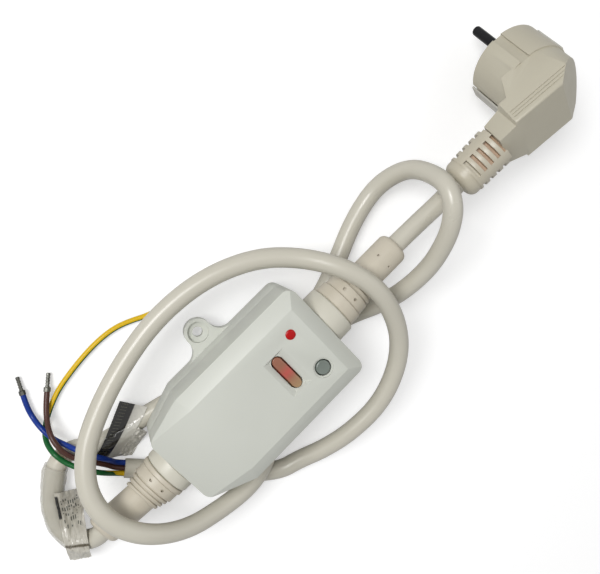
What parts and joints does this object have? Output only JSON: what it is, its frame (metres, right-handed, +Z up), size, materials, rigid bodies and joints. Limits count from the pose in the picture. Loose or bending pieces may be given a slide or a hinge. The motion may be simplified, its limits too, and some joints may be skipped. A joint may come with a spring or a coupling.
{
  "type": "residual current device power cord",
  "caption": "Power cord with an angled round-pin earthed plug, a box-shaped residual current switch in the line and bare core ends at the far end.",
  "frame": {"origin": "centre of the box around the housing, its two white collars, its fixing lug and its lens; the cord, the boots and the plug are left out of it", "axes": "+X along the housing towards the plug's end, +Y towards the fixing lug, +Z up out of the face with the buttons"},
  "size_m": [0.3256, 0.1324, 0.0604],
  "materials": {
    "cord": "soft satin",
    "beige": "satin",
    "dark_insert": "satin",
    "pin_metal": "bright",
    "strip_metal": "satin",
    "shell": "soft gloss",
    "amber": "translucent",
    "grey_button": "soft gloss",
    "red_lens": "translucent",
    "lamp": "clear",
    "board": "satin",
    "black_plastic": "satin",
    "clamp_plastic": "satin",
    "copper": "bright",
    "core_iron": "dull",
    "spring_steel": "bright",
    "terminal_brass": "bright",
    "component_blue": "glossy",
    "component_grey": "glossy",
    "lead_sleeve": "satin",
    "blue_sleeve": "satin",
    "brown_sleeve": "satin",
    "green_sleeve": "green with a yellow side",
    "crimp_metal": "tinned",
    "clear_film": "clear, crumpled",
    "white_film": "glossy film"
  },
  "bodies": {
    "housing": {"supply_cord": "cord", "load_cord": "cord", "supply_cord_end": "cord", "load_cord_end": "cord", "plug_cord_end": "cord", "plug_body": "beige", "plug_boot": "beige", "supply_boot": "beige", "load_boot": "beige", "plug_face": "dark_insert", "plug_pins": "pin_metal", "plug_earth_clip": "strip_metal", "housing_base": "shell", "housing_cover": "shell", "supply_gland_nut": "shell", "load_gland_nut": "shell", "indicator_lens": "red_lens", "indicator_lamp": "lamp", "circuit_board": "board", "supply_cord_clamp": "clamp_plastic", "load_cord_clamp": "clamp_plastic", "fixed_contacts": "copper", "transformer_winding": "copper", "trip_coil": "copper", "test_contact": "copper", "transformer_core": "core_iron", "trip_frame": "core_iron", "reset_spring": "spring_steel", "test_spring": "spring_steel", "plunger_spring": "spring_steel", "case_screws": "spring_steel", "clamp_screws": "spring_steel", "terminal_screws": "spring_steel", "supply_terminals": "terminal_brass", "load_terminals": "terminal_brass", "varistor": "component_blue", "capacitor": "component_grey", "supply_leads": "lead_sleeve", "load_leads": "lead_sleeve", "plug_leads": "lead_sleeve", "core_blue": "blue_sleeve", "core_brown": "brown_sleeve", "core_earth": "green_sleeve", "earth_lead": "green_sleeve", "crimp_pin_blue": "crimp_metal", "crimp_pin_brown": "crimp_metal", "crimp_pin_earth": "crimp_metal", "bend_film": "clear_film", "strand_label": "white_film"},
    "reset": {"reset_button": "amber"},
    "carrier": {"contact_carrier": "black_plastic", "moving_contacts": "copper"},
    "test": {"test_button": "grey_button"},
    "plunger": {"trip_plunger": "core_iron"}
  },
  "joints": [
    {"name": "reset_press", "type": "slide", "parent": "housing", "child": "reset", "axis": [0, 0, -1], "range_m": [0, 0.0025], "stiffness_N_per_m": 400},
    {"name": "carrier_travel", "type": "slide", "parent": "housing", "child": "carrier", "axis": [0, 0, -1], "range_m": [0, 0.0025], "stiffness_N_per_m": 400, "deforming": ["reset_spring"]},
    {"name": "test_press", "type": "slide", "parent": "housing", "child": "test", "axis": [0, 0, -1], "range_m": [0, 0.0015], "stiffness_N_per_m": 300, "deforming": ["test_spring"]},
    {"name": "trip_pull", "type": "slide", "parent": "housing", "child": "plunger", "axis": [0, 0, -1], "range_m": [0, 0.002], "stiffness_N_per_m": 200, "deforming": ["plunger_spring"]}
  ],
  "couplings": [
    {"joint": "carrier_travel", "follows": "reset_press", "ratio": 1}
  ]
}
